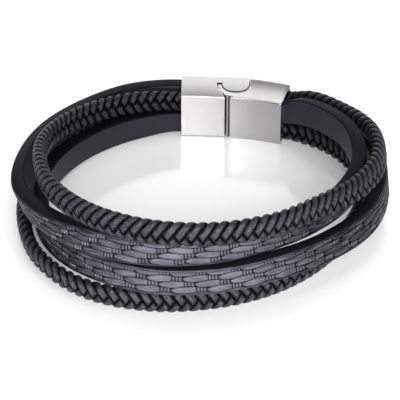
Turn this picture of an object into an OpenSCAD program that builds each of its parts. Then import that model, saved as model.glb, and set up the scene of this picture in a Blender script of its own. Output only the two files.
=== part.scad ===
// Leather bracelet: two plaited cords and two flat straps held in a two-part steel clasp.
// Lengths are in millimetres and +Z is up. The bracelet stands on its edge, so Z runs along
// the wrist. The origin is the middle of the loop on the floor, and the clasp is at the back (+Y).

/* [Clasp] */
// height of both clasp halves
clasp_h = 10.2; // [10:0.1:11]
// wall of the hollow sleeves
wall = 0.5; // [0.4:0.05:0.6]
// distance from the pivot to the inner face, on the wrist side
clasp_in = 5.3; // [5.2:0.05:5.6]
// distance from the pivot to the outer face
clasp_out = 3.25; // [3.05:0.05:3.4]
// radius of the round head on the tongue half
head_r = 2.85; // [2.7:0.05:2.9]
// gap between the two halves all round the head
joint_gap = 0.15; // [0.1:0.01:0.2]
// length of the tongue half from the pivot
tongue_len = 11.3; // [10.8:0.1:12]
// length of the socket half from the pivot
socket_len = 11.25; // [10.8:0.05:12]
// turn of the tongue half about Z
tongue_yaw = -4; // [-5:0.5:-3.5]
// turn of the socket half about Z
socket_yaw = -15.5; // [-16.5:0.5:-15]
// place of the pivot to the right of the loop's axis
pivot_x = 7; // [6.5:0.1:7.5]
// place of the pivot behind the loop's axis
pivot_y = 31.5; // [31.2:0.1:31.7]

/* [Straps] */
// thickness of a flat strap
strap_t = 3; // [2.7:0.05:3.05]
// height of a flat strap
strap_h = 5.4; // [5.2:0.05:5.45]
// radius of the strap's long edges
strap_edge = 0.8; // [0.4:0.1:1.2]

/* [Plaited cords] */
// thickness of a plaited cord
braid_t = 2.9; // [2.7:0.05:2.95]
// height of the upper cord
upper_h = 5; // [4.7:0.05:5.1]
// height of the lower cord, which stands on the floor
lower_h = 4.75; // [4.6:0.05:4.8]
// length in which one thong goes across the cord and back
braid_pitch = 6.2; // [5.8:0.1:6.6]
// thickness of one thong
thong_t = 1.35; // [1.2:0.05:1.45]
// width of one thong
thong_w = 2.1; // [1.9:0.05:2.3]

/* [Strand ends] */
// how far each strand reaches into its sleeve
strand_depth = 5.5; // [4.5:0.25:5.75]
// gap between a strand and the sleeve wall
sleeve_gap = 0.12; // [0.1:0.01:0.15]
// gap between the upper and the lower strand in a sleeve
stack_gap = 0.2; // [0.1:0.05:0.25]

/* [Hidden] */
$fn = 48;
leather_black = [0.06, 0.06, 0.08];
leather_face = [0.10, 0.10, 0.13];
steel = [0.62, 0.61, 0.60];
big = 40;
cut = 0.01;

// the loop's axis, from which turn and reach are measured, seen from the middle of the outline
axis_x = 0.51;
axis_y = 0.84;

clasp_depth = clasp_in + clasp_out;
outer_edge = 0.5;
inner_edge = 0.3;
mouth_edge = 0.4;
tongue_pocket_end = -5.3;
socket_pocket_end = 4.2;
mouth_lead = 0.8;
// the tongue half's end is this much longer at its outer side
end_skew = 0.5;

// the joint seen from above: u runs along a half from the pivot, v out from it
recess_r = head_r + joint_gap;
horn_wall = 0.85;
horn_r = recess_r + horn_wall;
// the tongue half's gap round the horn
horn_gap = 0.2;
// rounding of the corner at the end of the head's flat side
head_corner = 0.8;
// where the tongue half ends, and the corner of the slope beside the horn's root
tongue_end_u = -2.05;
tongue_slope = [-3.1, -2.6];
// the neck's inner side and its length, and the nick in it at the outer face
neck_v = 0.45;
neck_len = 2.3;
nick_start_u = -4.2;
nick_bottom = [-3.9, 2.55];
nick_end_u = -2.7;
nick_over = 0.15;
// where the socket half starts, and the corners of the horn's root
socket_start_u = 0.1;
root_start_u = -0.6;
root_end = [0.2, -2.5];
root_tip = [-2.9, -2.55];
// room for the head in the socket half: its wrist side, its far side and its outer side
room_in_v = -0.55;
room_u = 3;
room_bend_v = 0.3;
room_out_v = 3.5;
// groove beside the seam on the wrist side, square
groove = 0.4;
groove_u = -0.3;

// strands are pressed together in height where they enter the sleeves
end_squeeze = (clasp_h - 2 * (wall + sleeve_gap) - stack_gap) / (strap_h + upper_h);
strap_low = wall + sleeve_gap + end_squeeze * strap_h / 2;
strap_top = clasp_h - strap_low;
braid_low = wall + sleeve_gap + end_squeeze * lower_h / 2;
braid_top = clasp_h - wall - sleeve_gap - end_squeeze * upper_h / 2;

// offset of a strand's middle from the pivot line, in the wrist-side and the outer layer
function inner_layer(t) = -clasp_in + wall + sleeve_gap + t / 2;
function outer_layer(t) = clasp_out - wall - sleeve_gap - t / 2;

// Strand paths, from the socket half by the right, the front and the left to the tongue half.
// turn:  degrees from +X seen from above
// reach: distance of the strand's middle from the loop's axis
// rise:  height of the strand's middle
// lean:  degrees the outer face turns up

braid_upper_way = [
  //turn reach  rise  lean
  [  48, 34.7,  9.3,   2],
  [  34, 34.9, 10.6,   5],
  [  14, 35.8, 12.3,  12],
  [  -6, 35.0, 13.4,  18],
  [ -26, 33.4, 14.6,  18],
  [ -46, 32.4, 16.2,   8],
  [ -66, 33.9, 17.4,   0],
  [ -86, 35.4, 18.1,   1],
  [-106, 36.2, 18.3,   5],
  [-126, 35.8, 17.9,   3],
  [-146, 34.6, 16.9,   2],
  [-166, 33.0, 15.1,   0],
  [-186, 32.6, 12.9,   0],
  [-206, 32.1, 10.8,   0],
  [-226, 31.3,  9.3,   0],
  [-243, 30.6,  8.3,   0],
];

strap_upper_way = [
  //turn reach  rise  lean
  [  48, 30.6,  8.9,  -8],
  [  34, 30.2, 10.9,  -9],
  [  14, 31.2, 11.7,  -3],
  [  -6, 31.2, 11.3,   1],
  [ -26, 30.1, 11.1,   0],
  [ -46, 29.5, 11.5,   0],
  [ -66, 30.4, 12.3,   0],
  [ -86, 32.5, 12.8,   2],
  [-106, 34.7, 12.9,   5],
  [-126, 36.0, 12.4,   7],
  [-146, 36.6, 10.9,  -8],
  [-166, 36.8,  9.3, -20],
  [-186, 35.7,  8.5, -26],
  [-206, 35.4,  7.8, -16],
  [-226, 34.7,  7.6,  -5],
  [-243, 34.4,  7.6,   0],
];

strap_lower_way = [
  //turn reach  rise  lean
  [  48, 36.4,  3.9,   0],
  [  34, 36.9,  5.0,   0],
  [  14, 35.9,  7.1,   3],
  [  -6, 35.9,  7.3,   7],
  [ -26, 35.4,  7.3,  12],
  [ -46, 34.1,  7.4,   9],
  [ -66, 33.7,  7.6,   4],
  [ -86, 34.8,  7.5,   6],
  [-106, 36.2,  7.5,   7],
  [-126, 36.0,  6.9,   7],
  [-146, 34.7,  5.4,   5],
  [-166, 33.4,  4.2,   3],
  [-186, 32.6,  3.7,  -2],
  [-206, 31.7,  3.1,  -3],
  [-226, 30.9,  2.8,  -2],
  [-243, 30.3,  2.8,   0],
];

braid_lower_way = [
  //turn reach  rise  lean
  [  48, 32.1,  2.5,   2],
  [  34, 33.3,  2.5,   4],
  [  14, 33.6,  2.4,   1],
  [  -6, 32.0,  2.4,   0],
  [ -26, 30.9,  2.4,   0],
  [ -46, 31.3,  2.4,   0],
  [ -66, 32.5,  2.4,   0],
  [ -86, 34.1,  2.4,   0],
  [-106, 36.4,  2.4,  -3],
  [-126, 38.6,  2.5, -11],
  [-146, 38.6,  2.7, -12],
  [-166, 36.9,  2.6, -10],
  [-186, 35.8,  2.5,  -2],
  [-206, 35.0,  2.4,   0],
  [-226, 34.5,  2.5,   0],
  [-243, 34.4,  2.5,   0],
];

// Path rows are [x, y, z, lean, squeeze].

function xyz(row) = [row[0], row[1], row[2]];

function unit(v) = v / norm(v);

// one row at a sleeve mouth: u along the half, v out from the pivot line
function mouth_row(yaw, u, v, z, squeeze) = [
  pivot_x + u * cos(yaw) - v * sin(yaw),
  pivot_y + u * sin(yaw) + v * cos(yaw),
  z, 0, squeeze
];

function socket_rows(v, z) = [
  mouth_row(socket_yaw, socket_len - strand_depth, v, z, end_squeeze),
  mouth_row(socket_yaw, socket_len - mouth_lead, v, z, end_squeeze),
  mouth_row(socket_yaw, socket_len + mouth_lead, v, z, end_squeeze + 0.01)
];

function tongue_rows(v, z) = [
  mouth_row(tongue_yaw, -tongue_len - mouth_lead, v, z, end_squeeze + 0.01),
  mouth_row(tongue_yaw, -tongue_len + mouth_lead, v, z, end_squeeze),
  mouth_row(tongue_yaw, -tongue_len + strand_depth, v, z, end_squeeze)
];

function loop_rows(way) = [
  for (w = way) [w[1] * cos(w[0]), w[1] * sin(w[0]), w[2], w[3], 1]
];

function strand_rows(way, socket_place, tongue_place) = concat(
  socket_rows(socket_place[0], socket_place[1]),
  loop_rows(way),
  tongue_rows(tongue_place[0], tongue_place[1])
);

// running length along the rows
function knots(rows) = [
  for (i = 0, s = 0; i < len(rows);
       s = s + (i < len(rows) - 1 ? norm(xyz(rows[i + 1]) - xyz(rows[i])) : 0), i = i + 1) s
];

// slope of the curve at row i, leaning to the nearer neighbour
function slope(rows, k, i) =
  i == 0 ? (rows[1] - rows[0]) / (k[1] - k[0]) :
  i == len(rows) - 1 ? (rows[i] - rows[i - 1]) / (k[i] - k[i - 1]) :
  let (
    before = k[i] - k[i - 1],
    after = k[i + 1] - k[i]
  )
  ((rows[i] - rows[i - 1]) / before * after + (rows[i + 1] - rows[i]) / after * before)
    / (before + after);

// the row at running length s, on a smooth curve through all rows
function row_at(rows, k, s) =
  let (
    i = min(len([for (x = k) if (x <= s) 1]) - 1, len(rows) - 2),
    h = k[i + 1] - k[i],
    t = (s - k[i]) / h
  )
  rows[i] * (2 * t * t * t - 3 * t * t + 1)
    + slope(rows, k, i) * h * (t * t * t - 2 * t * t + t)
    + rows[i + 1] * (3 * t * t - 2 * t * t * t)
    + slope(rows, k, i + 1) * h * (t * t * t - t * t);

// points of one ring: section points are [out, up] from the strand's middle
function ring(rows, k, s, section) =
  let (
    row = row_at(rows, k, s),
    ahead = xyz(row_at(rows, k, min(s + 0.2, k[len(k) - 1]))),
    back = xyz(row_at(rows, k, max(s - 0.2, 0))),
    along = unit(ahead - back),
    out = unit(cross([0, 0, 1], along)),
    up = cross(along, out),
    out_leant = out * cos(row[3]) + up * sin(row[3]),
    up_leant = (up * cos(row[3]) - out * sin(row[3])) * row[4]
  )
  [for (p = section) xyz(row) + out_leant * p[0] + up_leant * p[1]];

// closed tube through rings of equal point count
module tube(rings) {
  m = len(rings[0]);
  n = len(rings);
  points = [for (r = rings) each r];
  start_cap = [for (j = [0 : m - 1]) j];
  end_cap = [for (j = [m - 1 : -1 : 0]) (n - 1) * m + j];
  sides = [
    for (i = [0 : n - 2], j = [0 : m - 1])
      let (
        a = i * m + j,
        b = i * m + (j + 1) % m,
        c = (i + 1) * m + (j + 1) % m,
        d = (i + 1) * m + j
      )
      each [[a, d, c], [a, c, b]]
  ];
  polyhedron(points, concat([start_cap], sides, [end_cap]));
}

// rounded oblong of the flat strap, three points at each corner
strap_section = [
  for (q = [[1, 1, 0], [-1, 1, 90], [-1, -1, 180], [1, -1, 270]])
    for (a = [0, 45, 90])
      [q[0] * (strap_t / 2 - strap_edge) + strap_edge * cos(q[2] + a),
       q[1] * (strap_h / 2 - strap_edge) + strap_edge * sin(q[2] + a)]
];

// rings: one at each row inside a sleeve, and even steps along the free length
module strap(rows) {
  k = knots(rows);
  last = len(k) - 1;
  free = k[last - 2] - k[2];
  count = 38;
  places = concat(
    [k[0], k[1]],
    [for (i = [0 : count]) k[2] + free * i / count],
    [k[last - 1], k[last]]
  );
  tube([for (s = places) ring(rows, k, s, strap_section)]);
}

// distance from the cord's middle to the far side of a thong in the direction [out, up]
function thong_far(dir, mid) =
  let (
    d = [dir[0] / (thong_t / 2), dir[1] / (thong_w / 2)],
    c = [mid[0] / (thong_t / 2), mid[1] / (thong_w / 2)],
    inside = (d * c) * (d * c) - (d * d) * (c * c - 1)
  )
  inside < 0 ? 0 : (d * c + sqrt(inside)) / (d * d);

// Outline of the plait at running length s. Three thongs swing from edge to edge a third of a
// pitch apart, each over one neighbour and under the other. hand +1 or -1 sets which way the
// plait's arrows point.
function braid_section(s, height, hand) =
  let (
    swing = (height - thong_w) / 2,
    lift = (braid_t - thong_t) / 2,
    turn = 90 + 360 * s / braid_pitch,
    mids = [for (j = [0 : 2])
      [hand * lift * sin(2 * (turn + 120 * j)), swing * sin(turn + 120 * j)]]
  )
  [for (a = [0, 32, 62, 90, 118, 148, 180, 212, 242, 270, 298, 328])
    let (
      dir = [cos(a), sin(a)],
      core = 1 / norm([dir[0] / (braid_t * 0.32), dir[1] / (height * 0.36)])
    )
    dir * max([core, for (m = mids) thong_far(dir, m)])];

// rings: six a pitch, so that every lobe's crest and every valley between lobes has one
module braid(rows, height, hand) {
  k = knots(rows);
  step = braid_pitch / 6;
  count = floor(k[len(k) - 1] / step);
  tube([for (i = [0 : count]) ring(rows, k, i * step, braid_section(i * step, height, hand))]);
}

module braid_upper() {
  color(leather_black) on_axis()
    braid(strand_rows(braid_upper_way,
      [outer_layer(braid_t), braid_top], [inner_layer(braid_t), braid_top]), upper_h, -1);
}

module strap_upper() {
  color(leather_face) on_axis()
    strap(strand_rows(strap_upper_way,
      [inner_layer(strap_t), strap_top], [outer_layer(strap_t), strap_top]));
}

module strap_lower() {
  color(leather_face) on_axis()
    strap(strand_rows(strap_lower_way,
      [outer_layer(strap_t), strap_low], [inner_layer(strap_t), strap_low]));
}

module braid_lower() {
  color(leather_black) on_axis()
    braid(strand_rows(braid_lower_way,
      [inner_layer(braid_t), braid_low], [outer_layer(braid_t), braid_low]), lower_h, 1);
}

// oblong with one rounding on the wrist side and another on the outer side
module sleeve_section(inset, inner_r, outer_r) {
  lo = -clasp_in + inset;
  hi = clasp_out - inset;
  translate([lo + inner_r, inset])
    square([hi - lo - inner_r - outer_r, clasp_h - 2 * inset]);
  translate([lo, inset + inner_r])
    square([inner_r * 2, clasp_h - 2 * inset - 2 * inner_r]);
  translate([hi - outer_r * 2, inset + outer_r])
    square([outer_r * 2, clasp_h - 2 * inset - 2 * outer_r]);
  for (z = [inset + inner_r, clasp_h - inset - inner_r])
    translate([lo + inner_r, z]) circle(inner_r);
  for (z = [inset + outer_r, clasp_h - inset - outer_r])
    translate([hi - outer_r, z]) circle(outer_r);
}

// bar along the half, from u0 to u1, with the section above
module sleeve_bar(u0, u1, inset, inner_r, outer_r) {
  translate([u0, 0, 0])
    rotate([90, 0, 90])
      linear_extrude(u1 - u0)
        sleeve_section(inset, inner_r, outer_r);
}

module on_axis() {
  translate([axis_x, axis_y, 0]) children();
}

module on_clasp(yaw) {
  on_axis() translate([pivot_x, pivot_y, 0]) rotate(yaw) children();
}

// round head with a flat outer side
module head_plan() {
  corner = [head_r - head_corner, clasp_out - head_corner];
  circle(head_r);
  difference() {
    translate([-head_r, 0]) square([head_r * 2, clasp_out]);
    translate(corner) square(head_corner + cut);
  }
  translate(corner) circle(head_corner);
}

// tongue half seen from above: sleeve, neck and head
module tongue_plan() {
  difference() {
    polygon([
      [-tongue_len, -clasp_in], [tongue_end_u, -clasp_in],
      [tongue_end_u, clasp_out], [-tongue_len - end_skew, clasp_out]
    ]);
    circle(horn_r + horn_gap);
    polygon([
      [tongue_end_u, -clasp_in - cut], tongue_slope,
      [0, tongue_slope[1]], [0, -clasp_in - cut]
    ]);
    translate([-horn_r - horn_gap, 0]) square([big, big]);
  }
  difference() {
    translate([-horn_r - horn_gap - 0.1, neck_v]) square([neck_len, clasp_out - neck_v]);
    polygon([
      [nick_start_u, clasp_out + nick_over], nick_bottom,
      [nick_end_u, clasp_out + nick_over]
    ]);
  }
  head_plan();
}

// socket half seen from above: sleeve and the horn that hooks round the head
module socket_plan() {
  difference() {
    union() {
      translate([socket_start_u, -clasp_in])
        square([socket_len - socket_start_u, clasp_depth]);
      polygon([
        [root_start_u, -clasp_in], [root_end[0], -clasp_in], root_end, root_tip
      ]);
      difference() {
        circle(horn_r);
        translate([0, -big / 2]) square(big);
      }
    }
    circle(recess_r);
    // room for the head: the sleeve's side beside it is parallel to the head's flat side
    polygon([
      [-big, room_in_v], [room_u, room_in_v], [room_u, room_bend_v],
      [room_u - (room_out_v - room_bend_v) * tan(tongue_yaw - socket_yaw), room_out_v],
      [-big, room_out_v]
    ]);
    translate([groove_u, -clasp_in - cut]) square([groove, groove + cut]);
  }
}

module clasp_tongue_half() {
  color(steel) on_clasp(tongue_yaw)
    difference() {
      intersection() {
        linear_extrude(clasp_h) tongue_plan();
        sleeve_bar(-tongue_len - end_skew, head_r + 1, 0, inner_edge, outer_edge);
      }
      sleeve_bar(-tongue_len - end_skew - 1, tongue_pocket_end, wall, inner_edge, mouth_edge);
    }
}

module clasp_socket_half() {
  color(steel) on_clasp(socket_yaw)
    difference() {
      intersection() {
        linear_extrude(clasp_h) socket_plan();
        sleeve_bar(-horn_r - 1, socket_len, 0, inner_edge, outer_edge);
      }
      sleeve_bar(socket_pocket_end, socket_len + 1, wall, inner_edge, mouth_edge);
    }
}

clasp_tongue_half();
clasp_socket_half();
braid_upper();
strap_upper();
strap_lower();
braid_lower();
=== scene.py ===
"""Looks of the leather bracelet: plaited cords, flat pressed straps and a brushed steel clasp.

Strands are modelled straight, in millimetres: X runs along the strand, +Y is its outer face and
+Z is up. Each is then laid along its path round the loop and brought to metres.
"""
import math

import bmesh
import bpy
import numpy as np
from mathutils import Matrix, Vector


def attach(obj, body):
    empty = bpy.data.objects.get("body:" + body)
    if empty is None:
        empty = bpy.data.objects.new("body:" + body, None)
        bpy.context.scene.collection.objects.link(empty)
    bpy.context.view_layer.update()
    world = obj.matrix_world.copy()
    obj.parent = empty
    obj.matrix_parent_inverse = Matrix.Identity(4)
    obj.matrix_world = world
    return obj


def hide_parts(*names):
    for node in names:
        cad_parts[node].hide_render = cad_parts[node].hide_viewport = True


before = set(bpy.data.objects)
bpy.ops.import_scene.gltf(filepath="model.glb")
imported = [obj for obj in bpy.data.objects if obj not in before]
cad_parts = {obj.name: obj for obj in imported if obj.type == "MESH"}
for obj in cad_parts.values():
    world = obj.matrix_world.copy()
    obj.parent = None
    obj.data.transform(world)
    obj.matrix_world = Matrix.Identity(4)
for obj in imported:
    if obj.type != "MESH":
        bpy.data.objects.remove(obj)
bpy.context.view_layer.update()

MM = 0.001

# The photograph's side and the focal length of its lens, in pixels, and the view on the part.
PHOTO_SIDE = 400
PHOTO_LENS = 2079
PHOTO_SHIFT = -7
VIEW_TARGET = (-0.14, -1.51, 5.0)
VIEW_DISTANCE = 420
VIEW_TILT = 34

# Sizes of the model's source, in millimetres and degrees.
CLASP_H = 10.2
WALL = 0.5
CLASP_IN = 5.3
CLASP_OUT = 3.25
TONGUE_LEN = 11.3
TONGUE_END_U = -2.05
SOCKET_LEN = 11.25
TONGUE_YAW = -4.0
SOCKET_YAW = -15.5
PIVOT = (7.0, 31.5)
AXIS = (0.51, 0.84)
STRAP_T = 3.0
STRAP_H = 5.4
BRAID_T = 2.9
UPPER_H = 5.0
LOWER_H = 4.75
STRAND_DEPTH = 5.5
SLEEVE_GAP = 0.12
STACK_GAP = 0.2
MOUTH_LEAD = 0.8
# How far ahead and back along a strand its direction is taken.
NEAR = 0.2

# The sizes from here on are the looks' own.

# Clasp: its broken edges, how far its faces bow, where the socket half's bow starts, how far its
# top is crowned, and the height at the top that the crown moves.
CLASP_BEVEL = 0.18
TONGUE_BOW = 0.12
SOCKET_BOW = 0.34
SOCKET_BOW_START_U = 0.2
TONGUE_CROWN = 0.1
SOCKET_CROWN = -0.2
CROWN_BAND = 0.3
WELD = 0.002

# Clasp's head: where its flat side starts, and how soon and how far that comes nearer to the
# socket half.
HEAD_START_U = 2.3
HEAD_EASE = 2.7
HEAD_GAIN = 0.14

# Clasp's places painted dark as shade: the groove beside the seam, from the wrist side, and how far
# the walls round the head reach.
GROOVE_U = -0.1
GROOVE_HALF = 0.22
GROOVE_SPAN = (0.05, 0.45)
JOINT_REACH = 4.2
JOINT_INSET = 0.3
HEAD_SIDE_V = 0.3

# Plaits: length from thong to thong, a thong's slant, rounding and depth, and how square the
# cord's section is, where 2 is an oval.
LOBE_PITCH = 2.07
LOBE_SLANT = 0.6
LOBE_ROUND = 0.75
LOBE_DEPTH = 0.5
CORD_SQUARE = 2.3

# Straps: their rounded edges and the pressed pattern, its repeat, row, wave and depth, the rim's
# height as a share and the width in which the pattern fades to it.
STRAP_EDGE = 0.4
PRESS_PITCH = 6.5
PRESS_ROW_H = 1.22
PRESS_WAVE = 0.16
PRESS_DEPTH = 0.2
PRESS_RIM = 0.3
PRESS_FADE = 0.1

# Pattern's lines, half their width and their slope's, then the leaves, the place of the widest
# part in repeats and how blunt the point is, and the length of one brick.
LINE_HALF = 0.04
LINE_SLOPE = 0.24
LEAF_WIDEST = 0.17
LEAF_POINT = 1.5
BRICK = 0.6

# Fineness of the meshes: cuts in one repeat of a strand, sides of a cord, fields of a clasp half.
STRAP_CUTS_ALONG = 51
STRAP_CUTS_UP = 27
CORD_SIDES = 64
CORD_CUTS = 11
CLASP_COLUMNS = 20
CLASP_ROWS = 16

# The middle of the part's front, where the straps' painted light is brightest, in metres.
PAINTED_LIGHT_CENTRE = (0, -0.037, 0.01)

# Where the strands lie in the sleeves. They are pressed together in height there.
END_SQUEEZE = (CLASP_H - 2 * (WALL + SLEEVE_GAP) - STACK_GAP) / (STRAP_H + UPPER_H)
STRAP_LOW = WALL + SLEEVE_GAP + END_SQUEEZE * STRAP_H / 2
STRAP_TOP = CLASP_H - STRAP_LOW
BRAID_LOW = WALL + SLEEVE_GAP + END_SQUEEZE * LOWER_H / 2
BRAID_TOP = CLASP_H - WALL - SLEEVE_GAP - END_SQUEEZE * UPPER_H / 2

# Strand paths, from the socket half by the right, the front and the left to the tongue half:
# turn in degrees from +X seen from above, reach from the loop's axis and rise of the strand's
# middle, and lean, the degrees that the outer face turns up.
BRAID_UPPER_WAY = [
    # turn, reach, rise, lean
    (48, 34.7, 9.3, 2),
    (34, 34.9, 10.6, 5),
    (14, 35.8, 12.3, 12),
    (-6, 35.0, 13.4, 18),
    (-26, 33.4, 14.6, 18),
    (-46, 32.4, 16.2, 8),
    (-66, 33.9, 17.4, 0),
    (-86, 35.4, 18.1, 1),
    (-106, 36.2, 18.3, 5),
    (-126, 35.8, 17.9, 3),
    (-146, 34.6, 16.9, 2),
    (-166, 33.0, 15.1, 0),
    (-186, 32.6, 12.9, 0),
    (-206, 32.1, 10.8, 0),
    (-226, 31.3, 9.3, 0),
    (-243, 30.6, 8.3, 0),
]
STRAP_UPPER_WAY = [
    # turn, reach, rise, lean
    (48, 30.6, 8.9, -8),
    (34, 30.2, 10.9, -9),
    (14, 31.2, 11.7, -3),
    (-6, 31.2, 11.3, 1),
    (-26, 30.1, 11.1, 0),
    (-46, 29.5, 11.5, 0),
    (-66, 30.4, 12.3, 0),
    (-86, 32.5, 12.8, 2),
    (-106, 34.7, 12.9, 5),
    (-126, 36.0, 12.4, 7),
    (-146, 36.6, 10.9, -8),
    (-166, 36.8, 9.3, -20),
    (-186, 35.7, 8.5, -26),
    (-206, 35.4, 7.8, -16),
    (-226, 34.7, 7.6, -5),
    (-243, 34.4, 7.6, 0),
]
STRAP_LOWER_WAY = [
    # turn, reach, rise, lean
    (48, 36.4, 3.9, 0),
    (34, 36.9, 5.0, 0),
    (14, 35.9, 7.1, 3),
    (-6, 35.9, 7.3, 7),
    (-26, 35.4, 7.3, 12),
    (-46, 34.1, 7.4, 9),
    (-66, 33.7, 7.6, 4),
    (-86, 34.8, 7.5, 6),
    (-106, 36.2, 7.5, 7),
    (-126, 36.0, 6.9, 7),
    (-146, 34.7, 5.4, 5),
    (-166, 33.4, 4.2, 3),
    (-186, 32.6, 3.7, -2),
    (-206, 31.7, 3.1, -3),
    (-226, 30.9, 2.8, -2),
    (-243, 30.3, 2.8, 0),
]
BRAID_LOWER_WAY = [
    # turn, reach, rise, lean
    (48, 32.1, 2.5, 2),
    (34, 33.3, 2.5, 4),
    (14, 33.6, 2.4, 1),
    (-6, 32.0, 2.4, 0),
    (-26, 30.9, 2.4, 0),
    (-46, 31.3, 2.4, 0),
    (-66, 32.5, 2.4, 0),
    (-86, 34.1, 2.4, 0),
    (-106, 36.4, 2.4, -3),
    (-126, 38.6, 2.5, -11),
    (-146, 38.6, 2.7, -12),
    (-166, 36.9, 2.6, -10),
    (-186, 35.8, 2.5, -2),
    (-206, 35.0, 2.4, 0),
    (-226, 34.5, 2.5, 0),
    (-243, 34.4, 2.5, 0),
]


# Camera

def set_camera():
    """The photograph's view: from the front, 34 degrees up, with a long lens."""
    target = Vector(VIEW_TARGET) * MM
    distance = VIEW_DISTANCE * MM
    tilt = math.radians(VIEW_TILT)
    data = bpy.data.cameras.new("camera")
    camera = bpy.data.objects.new("camera", data)
    bpy.context.scene.collection.objects.link(camera)
    camera.location = target + distance * Vector((0, -math.cos(tilt), math.sin(tilt)))
    camera.rotation_euler = (target - camera.location).to_track_quat("-Z", "Y").to_euler()
    data.sensor_width = 36
    data.lens = data.sensor_width * PHOTO_LENS / PHOTO_SIDE
    data.shift_y = PHOTO_SHIFT / PHOTO_SIDE
    data.clip_start = 0.01
    bpy.context.scene.camera = camera


# Paths of the strands

def mouth_row(yaw, along, out, rise, squeeze):
    """A row at a sleeve's mouth: x, y, z, lean and squeeze."""
    a = math.radians(yaw)
    x = PIVOT[0] + along * math.cos(a) - out * math.sin(a)
    y = PIVOT[1] + along * math.sin(a) + out * math.cos(a)
    return (x, y, rise, 0, squeeze)


def inner_layer(thickness):
    """Place of a strand's middle, out from the pivot, on the wrist side of a sleeve."""
    return -CLASP_IN + WALL + SLEEVE_GAP + thickness / 2


def outer_layer(thickness):
    """Place of a strand's middle, out from the pivot, on the outer side of a sleeve."""
    return CLASP_OUT - WALL - SLEEVE_GAP - thickness / 2


def strand_rows(way, socket_place, tongue_place):
    """All rows of a strand's path, with three inside and at each sleeve's mouth."""
    out, rise = socket_place
    rows = [
        mouth_row(SOCKET_YAW, SOCKET_LEN - STRAND_DEPTH, out, rise, END_SQUEEZE),
        mouth_row(SOCKET_YAW, SOCKET_LEN - MOUTH_LEAD, out, rise, END_SQUEEZE),
        mouth_row(SOCKET_YAW, SOCKET_LEN + MOUTH_LEAD, out, rise, END_SQUEEZE + 0.01),
    ]
    for turn, reach, rise, lean in way:
        a = math.radians(turn)
        rows.append((reach * math.cos(a), reach * math.sin(a), rise, lean, 1))
    out, rise = tongue_place
    rows += [
        mouth_row(TONGUE_YAW, -TONGUE_LEN - MOUTH_LEAD, out, rise, END_SQUEEZE + 0.01),
        mouth_row(TONGUE_YAW, -TONGUE_LEN + MOUTH_LEAD, out, rise, END_SQUEEZE),
        mouth_row(TONGUE_YAW, -TONGUE_LEN + STRAND_DEPTH, out, rise, END_SQUEEZE),
    ]
    return np.array(rows, float)


def knots(rows):
    """Running length at each row."""
    steps = np.linalg.norm(np.diff(rows[:, :3], axis=0), axis=1)
    return np.concatenate([[0], np.cumsum(steps)])


def rows_at(rows, s):
    """The rows at running lengths s, on one smooth curve through all rows."""
    k = knots(rows)
    h = np.diff(k)[:, None]
    steps = np.diff(rows, axis=0) / h
    slopes = np.empty_like(rows)
    slopes[0] = steps[0]
    slopes[-1] = steps[-1]
    slopes[1:-1] = (steps[:-1] * h[1:] + steps[1:] * h[:-1]) / (h[:-1] + h[1:])
    i = np.clip(np.searchsorted(k, s, side="right") - 1, 0, len(h) - 1)
    gap = h[i]
    t = ((s - k[i]) / gap[:, 0])[:, None]
    return (
        rows[i] * (2 * t**3 - 3 * t**2 + 1)
        + slopes[i] * gap * (t**3 - 2 * t**2 + t)
        + rows[i + 1] * (3 * t**2 - 2 * t**3)
        + slopes[i + 1] * gap * (t**3 - t**2)
    )


def lay_along(piece, rows):
    """Lays a straight strand along its path, from millimetres to metres.

    Each point's place on the straight strand is kept as the attribute run.
    """
    count = len(piece.data.vertices)
    straight = np.empty(count * 3)
    piece.data.vertices.foreach_get("co", straight)
    run = piece.data.attributes.new("run", "FLOAT_VECTOR", "POINT")
    run.data.foreach_set("vector", straight)
    straight = straight.reshape(-1, 3)
    end = knots(rows)[-1]
    s, back = np.unique(np.clip(straight[:, 0], 0, end).round(4), return_inverse=True)
    row = rows_at(rows, s)
    ahead = rows_at(rows, np.minimum(s + NEAR, end))
    along = ahead - rows_at(rows, np.maximum(s - NEAR, 0))
    along = along[:, :3] / np.linalg.norm(along[:, :3], axis=1)[:, None]
    out = np.cross([0, 0, 1], along)
    out /= np.linalg.norm(out, axis=1)[:, None]
    up = np.cross(along, out)
    lean = np.radians(row[:, 3])[:, None]
    out_leant = out * np.cos(lean) + up * np.sin(lean)
    up_leant = (up * np.cos(lean) - out * np.sin(lean)) * row[:, 4:5]
    place = row[back, :3] + out_leant[back] * straight[:, 1:2] + up_leant[back] * straight[:, 2:3]
    place += [AXIS[0], AXIS[1], 0]
    piece.data.vertices.foreach_set("co", (place * MM).ravel())
    piece.data.update()


# Helpers for modelling by hand

def pick(piece):
    """Makes the piece the only selected and active object."""
    bpy.ops.object.select_all(action="DESELECT")
    piece.select_set(True)
    bpy.context.view_layer.objects.active = piece


def apply_modifier(piece, kind, **settings):
    pick(piece)
    modifier = piece.modifiers.new(kind.lower(), kind)
    for name, value in settings.items():
        setattr(modifier, name, value)
    bpy.ops.object.modifier_apply(modifier=modifier.name)


def select_edges(piece, wanted):
    """In edit mode, selects the edges for which wanted(middle, direction) is true."""
    bpy.ops.mesh.select_mode(type="EDGE")
    bpy.ops.mesh.select_all(action="DESELECT")
    mesh = bmesh.from_edit_mesh(piece.data)
    for edge in mesh.edges:
        a, b = (v.co for v in edge.verts)
        if wanted((a + b) / 2, (b - a).normalized()):
            edge.select_set(True)
    bmesh.update_edit_mesh(piece.data)


def select_faces(piece, wanted):
    """In edit mode, selects the faces for which wanted(middle, normal) is true."""
    bpy.ops.mesh.select_mode(type="FACE")
    bpy.ops.mesh.select_all(action="DESELECT")
    mesh = bmesh.from_edit_mesh(piece.data)
    for face in mesh.faces:
        if wanted(face.calc_center_median(), face.normal):
            face.select_set(True)
    bmesh.update_edit_mesh(piece.data)


# Strands from repeats of one tile

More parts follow.
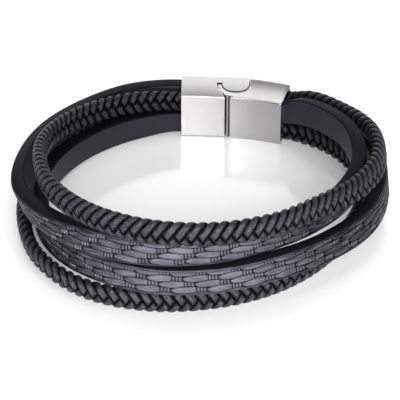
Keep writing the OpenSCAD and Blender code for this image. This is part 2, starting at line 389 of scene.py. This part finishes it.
def emboss(tile, pattern_at, depth, second):
    """Presses a pattern into the tile along its normals.

    pattern_at(point) gives the height, 1 on a top and 0 in a groove, and a second value for the
    leather's finish. They are kept as the attributes tops and second.
    """
    tile.data.update()
    tile.data.attributes.new("tops", "FLOAT", "POINT")
    tile.data.attributes.new(second, "FLOAT", "POINT")
    tops, others = tile.data.attributes["tops"], tile.data.attributes[second]
    inward = [vertex.normal * depth for vertex in tile.data.vertices]
    for vertex, step in zip(tile.data.vertices, inward):
        height, other = pattern_at(vertex.co)
        step.x = 0
        vertex.co -= (1 - height) * step
        tops.data[vertex.index].value = height
        others.data[vertex.index].value = other


def strand_of_tiles(tile, name, pitch, count):
    """A straight strand: tiles in a row, merged, with both ends closed."""
    tile.name = name
    apply_modifier(
        tile, "ARRAY", count=count, use_relative_offset=False, use_constant_offset=True,
        constant_offset_displace=(pitch, 0, 0), use_merge_vertices=True, merge_threshold=0.001,
    )
    bpy.ops.object.mode_set(mode="EDIT")
    bpy.ops.mesh.select_mode(type="EDGE")
    bpy.ops.mesh.select_all(action="SELECT")
    bpy.ops.mesh.fill_holes(sides=0)
    bpy.ops.mesh.select_all(action="SELECT")
    bpy.ops.mesh.normals_make_consistent(inside=False)
    bpy.ops.object.mode_set(mode="OBJECT")


# Flat pressed straps

def press(u, v, pitch, slope):
    """Height of the pressed pattern at u along and v across the sheet, and 1 on the bricks.

    Rows of long leaf shapes run along the strap. Each leaf starts in a point and ends in three
    short upright bricks. Each row is set off from the one below it by slope pitches, and the
    borders between rows are waves that give room to the leaves' widest places.
    """
    def border(row):
        widest = LEAF_WIDEST + (slope % 1) / 2
        return PRESS_ROW_H * row + PRESS_WAVE * math.cos(
            math.tau * (-u / pitch - slope * (row - 1) - widest)
        )

    row = math.floor(v / PRESS_ROW_H)
    if v < border(row):
        row -= 1
    elif v > border(row + 1):
        row += 1
    low, high = border(row), border(row + 1)
    across = abs(2 * (v - low) / (high - low) - 1)
    along = (-u - slope * pitch * row) % pitch
    point = across**LEAF_POINT
    if along < point:
        return 0, 0
    bricks = pitch - 3 * BRICK
    lines = [point, bricks, bricks + BRICK, bricks + 2 * BRICK, pitch]
    to_line = min(abs(along - x) for x in lines)
    near = min(1, max(0, min(to_line, v - low, high - v) - LINE_HALF) / LINE_SLOPE)
    return 1 - (1 - near) ** 2, float(along > bricks)


def strap_tile(pitch, slope, cut):
    """One repeat of the strap, an open rounded tube with the pattern pressed in its outer face.

    A plain low rim stays beside both edges. cut is the place of the strap's start and middle on
    the pressed sheet.
    """
    bpy.ops.mesh.primitive_cube_add(size=1, location=(pitch / 2, 0, 0))
    tile = bpy.context.object
    tile.scale = (pitch, STRAP_T, STRAP_H)
    bpy.ops.object.transform_apply(location=True, rotation=True, scale=True)
    bpy.ops.object.mode_set(mode="EDIT")
    select_faces(tile, lambda middle, normal: abs(normal.x) > 0.9)
    bpy.ops.mesh.delete(type="ONLY_FACE")
    select_edges(tile, lambda middle, direction: abs(direction.x) > 0.9)
    bpy.ops.mesh.bevel(offset=STRAP_EDGE, segments=4, affect="EDGES")
    select_edges(tile, lambda middle, direction: abs(direction.x) > 0.9)
    bpy.ops.mesh.subdivide(number_cuts=STRAP_CUTS_ALONG)
    outer = STRAP_T / 2 * 0.99
    select_edges(tile, lambda middle, direction: abs(direction.z) > 0.9 and middle.y > outer)
    bpy.ops.mesh.subdivide(number_cuts=STRAP_CUTS_UP)
    bpy.ops.object.mode_set(mode="OBJECT")
    bend = STRAP_T / 2 - STRAP_EDGE

    def pattern_at(co):
        round_share = max(0, (co.y - bend) / STRAP_EDGE)
        rim = 1 - round_share * (1 - PRESS_RIM)
        share = min(1, max(0, (STRAP_H / 2 - STRAP_EDGE - abs(co.z)) / PRESS_FADE))
        if share == 0:
            return rim, 0
        height, brick = press(co.x + cut[0], co.z + cut[1], pitch, slope)
        return rim + share * (height - rim), brick

    emboss(tile, pattern_at, PRESS_DEPTH, "bricks")
    return tile


def flat_strap(name, rows, slope, cut):
    """A strap with its pattern and its three finishes, laid along its path."""
    length = float(knots(rows)[-1])
    count = round(length / PRESS_PITCH)
    strap = strap_tile(length / count, slope, cut)
    strand_of_tiles(strap, name, length / count, count)
    for face in strap.data.polygons:
        if face.normal.y > 0.6:
            face.material_index = 0
        elif face.normal.y < -0.9:
            face.material_index = 2
        else:
            face.material_index = 1
    lay_along(strap, rows)
    bpy.ops.object.shade_smooth_by_angle(angle=math.radians(40))
    return strap


# Plaited cords

def cord_point(angle, height):
    """Point of the cord's section, a rounded oblong, at an angle from the outer face."""
    power = 2 / CORD_SQUARE
    y = math.copysign(abs(math.cos(angle)) ** power, math.cos(angle)) * BRAID_T / 2
    z = math.copysign(abs(math.sin(angle)) ** power, math.sin(angle)) * height / 2
    return y, z


def girth_table(height):
    """Angles of the section's outline and the running length to each, from the outer middle."""
    angles = np.linspace(-math.pi, math.pi, 257)
    points = np.array([cord_point(a, height) for a in angles])
    steps = np.linalg.norm(np.diff(points, axis=0), axis=1)
    lengths = np.concatenate([[0], np.cumsum(steps)])
    return angles, lengths - lengths[128]


def lobe(s, w, girth, pitch, hand):
    """Height of the plait's surface at s along and w round it, and its drift.

    The drift is how far the grain's streaks have moved along the cord there.

    Thongs leave the outer face's middle in turns, upward and downward, and wrap over the cord's
    edges to the middle of its back. They start and end under the sides of their neighbours, so
    the middle line is a zigzag.
    """
    slant = hand * LOBE_SLANT
    behind = abs(w) > girth / 4
    from_middle = girth / 2 - abs(w) if behind else abs(w)
    place = (slant * girth / 2 - s) / pitch if behind else s / pitch
    swing = math.asin(math.sin(math.tau * place)) / math.pi * 2
    zigzag = hand * swing * pitch / (4 * LOBE_SLANT)
    above = math.copysign(from_middle, w) - zigzag
    drift = -slant * w if above > 0 else slant * w + pitch / 2
    share = (s + drift) / pitch % 1
    steep = math.hypot(1, LOBE_SLANT)
    to_side = min(share, 1 - share) * pitch / steep
    to_end = abs(above) * LOBE_SLANT / steep
    near = min(1, to_side / LOBE_ROUND, to_end / LOBE_ROUND)
    return 1 - (1 - near) ** 2, drift


def cord_tile(pitch, height, hand, sink):
    """One repeat of the plait, an open tube with the thongs' shapes pressed in.

    The arrows' points lie sink millimetres below the outer face's middle.
    """
    bpy.ops.mesh.primitive_cylinder_add(
        vertices=CORD_SIDES, radius=1, depth=pitch, end_fill_type="NOTHING",
        location=(pitch / 2, 0, 0), rotation=(0, math.radians(90), 0),
    )
    tile = bpy.context.object
    bpy.ops.object.transform_apply(location=True, rotation=True, scale=True)
    bpy.ops.object.mode_set(mode="EDIT")
    select_edges(tile, lambda middle, direction: abs(direction.x) > 0.9)
    bpy.ops.mesh.subdivide(number_cuts=CORD_CUTS)
    bpy.ops.object.mode_set(mode="OBJECT")
    angle_of = {}
    for vertex in tile.data.vertices:
        angle = math.atan2(vertex.co.z, vertex.co.y)
        vertex.co.y, vertex.co.z = cord_point(angle, height)
        angle_of[tuple(vertex.co)] = angle
    angles, lengths = girth_table(height)
    girth = 2 * float(lengths[-1])

    def pattern_at(co):
        w = float(np.interp(angle_of[tuple(co)], angles, lengths)) + sink
        if w > girth / 2:
            w -= girth
        return lobe(co.x, w, girth, pitch, hand)

    emboss(tile, pattern_at, LOBE_DEPTH, "drift")
    return tile


def plaited_cord(name, rows, height, hand, sink):
    """A cord of three thongs, laid along its path. hand sets which way its arrows point."""
    length = float(knots(rows)[-1])
    count = round(length / LOBE_PITCH)
    cord = cord_tile(length / count, height, hand, sink)
    strand_of_tiles(cord, name, length / count, count)
    lay_along(cord, rows)
    bpy.ops.object.shade_smooth_by_angle(angle=math.radians(40))
    return cord


# Clasp

def local_place(co, yaw):
    """A point in a clasp half's own frame, in millimetres: along the half and out from its pivot."""
    a = math.radians(yaw)
    x = co.x / MM - AXIS[0] - PIVOT[0]
    y = co.y / MM - AXIS[1] - PIVOT[1]
    return x * math.cos(a) + y * math.sin(a), y * math.cos(a) - x * math.sin(a)


def cut_across(yaw, places, normal):
    """In edit mode, cuts all faces at places in a clasp half's own frame."""
    for along, out in places:
        row = mouth_row(yaw, along, out, 0, 1)
        bpy.ops.mesh.select_all(action="SELECT")
        bpy.ops.mesh.bisect(
            plane_co=((row[0] + AXIS[0]) * MM, (row[1] + AXIS[1]) * MM, 0), plane_no=normal
        )


def ease_faces(half, yaw, start, end, bow, crown):
    """Curves a clasp half to the wrist by bow, and rounds or hollows its top by crown."""
    a = math.radians(yaw)
    outward = Vector((-math.sin(a), math.cos(a), 0))
    for vertex in half.data.vertices:
        along, out = local_place(vertex.co, yaw)
        t = min(1, max(0, (along - start) / (end - start)))
        vertex.co += 4 * t * (1 - t) * bow * MM * outward
        if vertex.co.z > (CLASP_H - CROWN_BAND) * MM:
            from_middle = (2 * out + CLASP_IN - CLASP_OUT) / (CLASP_IN + CLASP_OUT)
            fall = from_middle**2 if crown > 0 else from_middle**2 - 1
            vertex.co.z -= fall * crown * MM


def clasp_half(node, yaw, start, end, bow, crown):
    """A clasp half with broken edges and eased faces, from a merged copy of the CAD node."""
    half = bpy.data.objects.new(node + "_dressed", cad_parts[node].data.copy())
    bpy.context.scene.collection.objects.link(half)
    half.data.materials.clear()
    pick(half)
    a = math.radians(yaw)
    depth = CLASP_IN + CLASP_OUT
    bpy.ops.object.mode_set(mode="EDIT")
    bpy.ops.mesh.select_all(action="SELECT")
    bpy.ops.mesh.remove_doubles(threshold=WELD * MM)
    bpy.ops.mesh.dissolve_limited(angle_limit=math.radians(1))
    columns = [
        (start + (end - start) * i / CLASP_COLUMNS, 0) for i in range(1, CLASP_COLUMNS)
    ]
    cut_across(yaw, columns, (math.cos(a), math.sin(a), 0))
    rows = [(0, depth * i / CLASP_ROWS - CLASP_IN) for i in range(1, CLASP_ROWS)]
    cut_across(yaw, rows, (-math.sin(a), math.cos(a), 0))
    bpy.ops.object.mode_set(mode="OBJECT")
    apply_modifier(
        half, "BEVEL", width=CLASP_BEVEL * MM, segments=2, limit_method="ANGLE",
        angle_limit=math.radians(50),
    )
    ease_faces(half, yaw, start, end, bow, crown)
    bpy.ops.object.shade_smooth_by_angle(angle=math.radians(60))
    apply_modifier(half, "WEIGHTED_NORMAL", keep_sharp=True, weight=100)
    return half


def close_joint(half, yaw):
    """Brings the head's flat side nearer to the socket half, so that no light shows between."""
    a = math.radians(yaw)
    lengthways = Vector((math.cos(a), math.sin(a), 0))
    for vertex in half.data.vertices:
        along, out = local_place(vertex.co, yaw)
        if along > HEAD_START_U and out > 0:
            vertex.co += min(1, out / HEAD_EASE) * HEAD_GAIN * MM * lengthways


def paint_recess_shade(half, yaw):
    """Gives the groove beside the seam and the walls round the head the second material, a painted
    shade.

    The walls' upper edges take it too, and beside the head's flat side the whole broken edge.
    """
    for face in half.data.polygons:
        along, out = local_place(face.center, yaw)
        from_inner = out + CLASP_IN
        beside_seam = abs(along - GROOVE_U) < GROOVE_HALF
        groove = beside_seam and GROOVE_SPAN[0] < from_inner < GROOVE_SPAN[1]
        flattest = 0.95 if out > HEAD_SIDE_V else 0.7
        steep = abs(face.normal.z) < flattest
        joint = steep and abs(along) < JOINT_REACH and abs(out) < CLASP_OUT - JOINT_INSET
        face.material_index = 1 if groove or joint else 0


# Materials

def linear(code):
    """Linear colour of an sRGB hex code."""
    out = []
    for i in (0, 2, 4):
        c = int(code[i : i + 2], 16) / 255
        out.append(c / 12.92 if c <= 0.04045 else ((c + 0.055) / 1.055) ** 2.4)
    return (*out, 1)


def add_node(material, kind, inputs=None, **settings):
    """Adds a node, sets it, and fills its inputs with values or other nodes' outputs."""
    node = material.node_tree.nodes.new(kind)
    for name, value in settings.items():
        setattr(node, name, value)
    for name, value in (inputs or {}).items():
        if isinstance(value, bpy.types.NodeSocket):
            material.node_tree.links.new(value, node.inputs[name])
        else:
            node.inputs[name].default_value = value
    return node


def new_material(name):
    """An empty material, with its output node."""
    material = bpy.data.materials.new(name)
    material.use_nodes = True
    material.node_tree.nodes.clear()
    return material, add_node(material, "ShaderNodeOutputMaterial")


def link(material, output, socket):
    material.node_tree.links.new(output, socket)


def attribute(material, name, output="Fac"):
    return add_node(material, "ShaderNodeAttribute", attribute_name=name).outputs[output]


def object_place(material):
    return add_node(material, "ShaderNodeTexCoord").outputs["Object"]


def noise(material, vector, scale, detail):
    return add_node(
        material, "ShaderNodeTexNoise", {"Vector": vector, "Scale": scale, "Detail": detail}
    ).outputs["Fac"]


def remap(material, value, given, wanted):
    """Brings a value from one range to another and holds it at both ends."""
    return add_node(
        material, "ShaderNodeMapRange",
        {"Value": value, "From Min": given[0], "From Max": given[1],
         "To Min": wanted[0], "To Max": wanted[1]},
    ).outputs["Result"]


def combine(material, operation, first, second):
    return add_node(
        material, "ShaderNodeMath", {0: first, 1: second}, operation=operation
    ).outputs["Value"]


def dye_with_groove_shade(material, tops, groove, top, strength):
    """The leather's dye with painted shade, darker toward the grooves: from the groove's tone to the
    top's, each a place on tops and a hex code, scaled.
    """
    tone = add_node(material, "ShaderNodeValToRGB", {"Fac": tops})
    for element, (position, code) in zip(tone.color_ramp.elements, (groove, top)):
        element.position = position
        element.color = linear(code)
    return add_node(
        material, "ShaderNodeVectorMath", {"Vector": tone.outputs["Color"], "Scale": strength},
        operation="SCALE",
    ).outputs["Vector"]


def bumped(material, height, strength, distance):
    return add_node(
        material, "ShaderNodeBump",
        {"Height": height, "Strength": strength, "Distance": distance},
    ).outputs["Normal"]


def surface(material, end, inputs):
    """Gives the material one principled surface with these inputs."""
    skin = add_node(material, "ShaderNodeBsdfPrincipled", inputs)
    link(material, skin.outputs["BSDF"], end.inputs["Surface"])


def plait_leather():
    """Waxed calf leather thongs, dyed near black: a soft gloss on the crowns.

    Grain and streaks along the thongs break the gloss up. The colour is painted darker in the slits
    between thongs as painted shade, and lighter on the crowns as a painted highlight.
    """
    material, end = new_material("waxed_calf_thong")
    place = object_place(material)
    tops = attribute(material, "tops")
    worn = remap(material, noise(material, place, 1300, 4), (0.35, 0.65), (0.4, 1.5))
    drifted = add_node(
        material, "ShaderNodeCombineXYZ", {"X": attribute(material, "drift")}
    ).outputs["Vector"]
    along = add_node(
        material, "ShaderNodeVectorMath", {0: attribute(material, "run", "Vector"), 1: drifted},
        operation="ADD",
    ).outputs["Vector"]
    drawn = add_node(
        material, "ShaderNodeMapping", {"Vector": along, "Scale": (4, 0.6, 0.6)}
    ).outputs["Vector"]
    fibres = noise(material, drawn, 1, 3)
    fibred = remap(material, fibres, (0.35, 0.65), (0.45, 1.35))
    strength = combine(material, "MULTIPLY", worn, fibred)
    rough = combine(material, "ADD", noise(material, place, 2200, 5), fibres)
    surface(material, end, {
        # Painted shade in the slits between thongs, painted highlight on the crowns
        "Base Color": dye_with_groove_shade(material, tops, (0.4, "0b0b10"), (0.95, "1f1e29"), strength),
        "Roughness": 0.36,
        "Specular IOR Level": remap(material, tops, (0.3, 1), (0, 0.5)),
        "Normal": bumped(material, rough, 1, 0.0003),
    })
    return material


def pressed_leather():
    """Split leather with a plate-pressed face, its grooves darkened by painted shade.

    Painted light makes the face brighter in front and darker toward the sides, where only the
    bricks keep a painted highlight. Toward the sides fine streaks along the strap stand out more.
    """
    material, end = new_material("plate_pressed_leather")
    place = object_place(material)
    tops = attribute(material, "tops")
    worn = remap(material, noise(material, place, 420, 4), (0.3, 0.7), (0.65, 1.15))
    drawn = add_node(
        material, "ShaderNodeMapping",
        {"Vector": attribute(material, "run", "Vector"), "Scale": (0.35, 1, 5)},
    ).outputs["Vector"]
    streaked = remap(material, noise(material, drawn, 1, 3), (0.35, 0.65), (0.65, 1.3))
    from_front = add_node(
        material, "ShaderNodeVectorMath", {0: place, 1: PAINTED_LIGHT_CENTRE}, operation="DISTANCE"
    ).outputs["Value"]
    # Painted light: brighter near the front's middle, darker toward the sides, bricks keep a painted
    # highlight
    side = (0.01, 0.026)
    leaf_painted_light = remap(material, from_front, side, (1.15, 0.38))
    brick_painted_light = remap(material, from_front, side, (1.15, 1.1))
    painted_front_light = remap(material, attribute(material, "bricks"), (0, 1), (leaf_painted_light, brick_painted_light))
    harsh = remap(material, from_front, side, (0.8, 3))
    grained = combine(material, "POWER", streaked, harsh)
    mottled = combine(material, "MULTIPLY", worn, grained)
    strength = combine(material, "MULTIPLY", mottled, painted_front_light)
    surface(material, end, {
        # Painted shade: the grooves and the low rim are darker than the tops
        "Base Color": dye_with_groove_shade(material, tops, (0.1, "15141a"), (0.8, "4b4a53"), strength),
        "Roughness": 0.45,
        "Specular IOR Level": remap(material, tops, (0, 1), (0, 0.15)),
        "Normal": bumped(material, noise(material, place, 2600, 4), 0.4, 0.00006),
    })
    return material


def edge_paint():
    """Acrylic edge paint on the strap's cut edges, a smooth near-black satin film."""
    material, end = new_material("acrylic_edge_paint")
    surface(material, end, {
        "Base Color": linear("15141b"), "Roughness": 0.5, "Specular IOR Level": 0.04,
    })
    return material


def strap_back():
    """Smooth burnished leather on the wrist side, dark grey with a soft satin."""
    material, end = new_material("burnished_leather")
    surface(material, end, {
        "Base Color": linear("282731"), "Roughness": 0.5, "Specular IOR Level": 0.2,
    })
    return material


def brushed_steel(name, yaw):
    """Stainless steel, brushed with a fine belt, so that its gloss spreads lengthways."""
    material, end = new_material(name)
    a = math.radians(yaw)
    turned = add_node(
        material, "ShaderNodeMapping",
        {"Vector": object_place(material), "Rotation": (0, 0, -a), "Scale": (60, 6000, 6000)},
    ).outputs["Vector"]
    spread = add_node(
        material, "ShaderNodeCombineXYZ", {"X": math.cos(a), "Y": math.sin(a)}
    ).outputs["Vector"]
    surface(material, end, {
        "Base Color": linear("b4b3b2"), "Metallic": 1, "Roughness": 0.3, "Anisotropic": 0.7,
        "Tangent": spread,
        "Normal": bumped(material, noise(material, turned, 1, 3), 0.15, 0.00002),
    })
    return material


def shade_painted_steel():
    """Dark, rough steel: painted shade in the seam's groove and on the walls round the head."""
    material, end = new_material("steel_painted_recess_shade")
    surface(material, end, {"Base Color": linear("4a4a4a"), "Metallic": 1, "Roughness": 0.6})
    return material


def floor_sheet():
    """White cast acrylic sheet lit from below, which softly mirrors what stands on it."""
    material, end = new_material("white_acrylic_sheet")
    matt = add_node(material, "ShaderNodeBsdfDiffuse", {"Color": linear("f0f0f0")})
    glow = add_node(material, "ShaderNodeEmission", {"Color": linear("ffffff"), "Strength": 0.26})
    lit = add_node(material, "ShaderNodeAddShader")
    link(material, matt.outputs["BSDF"], lit.inputs[0])
    link(material, glow.outputs["Emission"], lit.inputs[1])
    gloss = add_node(
        material, "ShaderNodeBsdfAnisotropic", {"Color": linear("ffffff"), "Roughness": 0.15}
    )
    both = add_node(material, "ShaderNodeMixShader", {"Fac": 0.2})
    link(material, lit.outputs["Shader"], both.inputs[1])
    link(material, gloss.outputs["BSDF"], both.inputs[2])
    link(material, both.outputs["Shader"], end.inputs["Surface"])
    return material


# Studio

def add_light(name, size, power, place, aim):
    data = bpy.data.lights.new(name, "AREA")
    data.shape = "RECTANGLE"
    data.size, data.size_y = size
    data.energy = power
    light = bpy.data.objects.new(name, data)
    bpy.context.scene.collection.objects.link(light)
    light.location = place
    light.rotation_euler = (Vector(aim) - Vector(place)).to_track_quat("-Z", "Y").to_euler()


def studio_air():
    """Dim, even air round the set."""
    world = bpy.data.worlds.new("studio_air")
    world.use_nodes = True
    air = world.node_tree.nodes["Background"]
    air.inputs["Color"].default_value = linear("f5f6fa")
    air.inputs["Strength"].default_value = 0.08
    bpy.context.scene.world = world


def set_studio():
    """A white floor lit from below and soft boxes: three in front, one above and one behind."""
    bpy.ops.mesh.primitive_plane_add(size=6, location=(0, 0, 0))
    floor = bpy.context.object
    floor.name = "floor"
    floor.data.materials.append(floor_sheet())
    studio_air()
    add_light("front_box", (0.7, 0.25), 3.6, (0.18, -0.6, 0.5), (0, 0, 0))
    add_light("middle_box", (0.25, 0.25), 1.8, (0, -0.62, 0.28), (0, 0, 0))
    add_light("low_box", (0.4, 0.15), 5.8, (0, -0.6, 0.1), (0, 0, 0.01))
    add_light("top_box", (0.6, 0.6), 3, (0, 0.15, 0.9), (0, 0, 0))
    add_light("back_box", (1.2, 0.5), 3.5, (0, 0.95, 0.34), (0, 0, 0))
    bpy.context.scene.view_settings.view_transform = "Standard"


# The bracelet

def dress(piece, node, materials):
    """Gives a piece its materials and its place in the frame."""
    for material in materials:
        piece.data.materials.append(material)
    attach(piece, "root")
    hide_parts(node)


set_camera()

calf = plait_leather()
strap_finish = [pressed_leather(), edge_paint(), strap_back()]

braid_upper = plaited_cord(
    "plaited_cord_upper",
    strand_rows(BRAID_UPPER_WAY, (outer_layer(BRAID_T), BRAID_TOP), (inner_layer(BRAID_T), BRAID_TOP)),
    height=UPPER_H, hand=-1, sink=0.6,
)
dress(braid_upper, "braid_upper", [calf])

strap_upper = flat_strap(
    "pressed_strap_upper",
    strand_rows(STRAP_UPPER_WAY, (inner_layer(STRAP_T), STRAP_TOP), (outer_layer(STRAP_T), STRAP_TOP)),
    slope=0.26, cut=(0.5, -0.24),
)
dress(strap_upper, "strap_upper", strap_finish)

strap_lower = flat_strap(
    "pressed_strap_lower",
    strand_rows(STRAP_LOWER_WAY, (outer_layer(STRAP_T), STRAP_LOW), (inner_layer(STRAP_T), STRAP_LOW)),
    slope=-0.34, cut=(2.9, -0.38),
)
dress(strap_lower, "strap_lower", strap_finish)

braid_lower = plaited_cord(
    "plaited_cord_lower",
    strand_rows(BRAID_LOWER_WAY, (inner_layer(BRAID_T), BRAID_LOW), (outer_layer(BRAID_T), BRAID_LOW)),
    height=LOWER_H, hand=1, sink=0,
)
dress(braid_lower, "braid_lower", [calf])

# Painted shade for the clasp's groove and the walls round the head
recess_painted_shade = shade_painted_steel()

tongue_half = clasp_half(
    "clasp_tongue_half", TONGUE_YAW, -TONGUE_LEN, TONGUE_END_U, TONGUE_BOW, TONGUE_CROWN
)
close_joint(tongue_half, TONGUE_YAW)
paint_recess_shade(tongue_half, TONGUE_YAW)
tongue_steel = brushed_steel("brushed_steel_tongue", TONGUE_YAW)
dress(tongue_half, "clasp_tongue_half", [tongue_steel, recess_painted_shade])

socket_half = clasp_half(
    "clasp_socket_half", SOCKET_YAW, SOCKET_BOW_START_U, SOCKET_LEN, SOCKET_BOW, SOCKET_CROWN
)
paint_recess_shade(socket_half, SOCKET_YAW)
socket_steel = brushed_steel("brushed_steel_socket", SOCKET_YAW)
dress(socket_half, "clasp_socket_half", [socket_steel, recess_painted_shade])

set_studio()
